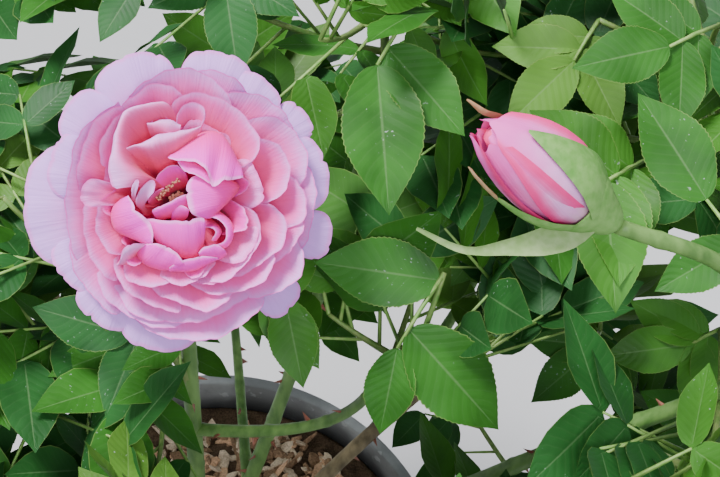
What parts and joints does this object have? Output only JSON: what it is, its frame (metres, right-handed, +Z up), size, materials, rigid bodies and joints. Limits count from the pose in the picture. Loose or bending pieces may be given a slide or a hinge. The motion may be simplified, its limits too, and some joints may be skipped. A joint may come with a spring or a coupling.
{
  "type": "rose bush",
  "caption": "Rose bush growing in a tapered black nursery pot, with one large double pink bloom, an opening bud and toothed compound leaves on thin canes.",
  "frame": {"origin": "middle of the pot's flat underside, on the surface that the pot stands on", "axes": "+Z up along the pot's axis, -Y the side that the open bloom leans towards, +X the side that the bud's cane leans to"},
  "size_m": [0.5478, 0.4744, 0.7771],
  "materials": {
    "pot": "black moulded plastic, dusty",
    "potting_mix": "coarse bark chips and peat",
    "old_wood": "rough grey-brown bark",
    "green_cane": "smooth green bark with prickles",
    "leaf": "soft satin green with pale veins",
    "calyx": "pale green, soft",
    "petal": "soft matt pink, paler at the rim"
  },
  "bodies": {
    "root": {"pot": "pot", "potting_mix": "potting_mix", "stump": "old_wood", "bloom_cane": "green_cane", "bud_cane": "green_cane", "right_cane": "green_cane", "back_cane": "green_cane", "back_left_cane": "green_cane", "left_cane": "green_cane", "front_left_cane": "green_cane", "front_cane": "green_cane", "right_front_bough": "green_cane", "right_back_bough": "green_cane", "back_bough": "green_cane", "left_bough": "green_cane", "front_bough": "green_cane", "right_low_bough": "green_cane", "middle_bough": "green_cane", "foliage_under_bloom": "leaf", "foliage_right_top": "leaf", "foliage_back_top": "leaf", "foliage_under_bud": "leaf", "foliage_middle": "leaf", "foliage_right_back": "leaf", "foliage_back_left": "leaf", "foliage_left_top": "leaf", "foliage_front_left": "leaf", "foliage_front_top": "leaf", "foliage_left_low": "leaf", "foliage_right_front": "leaf", "foliage_back_low": "leaf", "foliage_front_low": "leaf", "foliage_right_low": "leaf", "bloom": "petal", "bloom_calyx": "calyx", "bud": "petal", "bud_calyx": "calyx"}
  },
  "joints": []
}
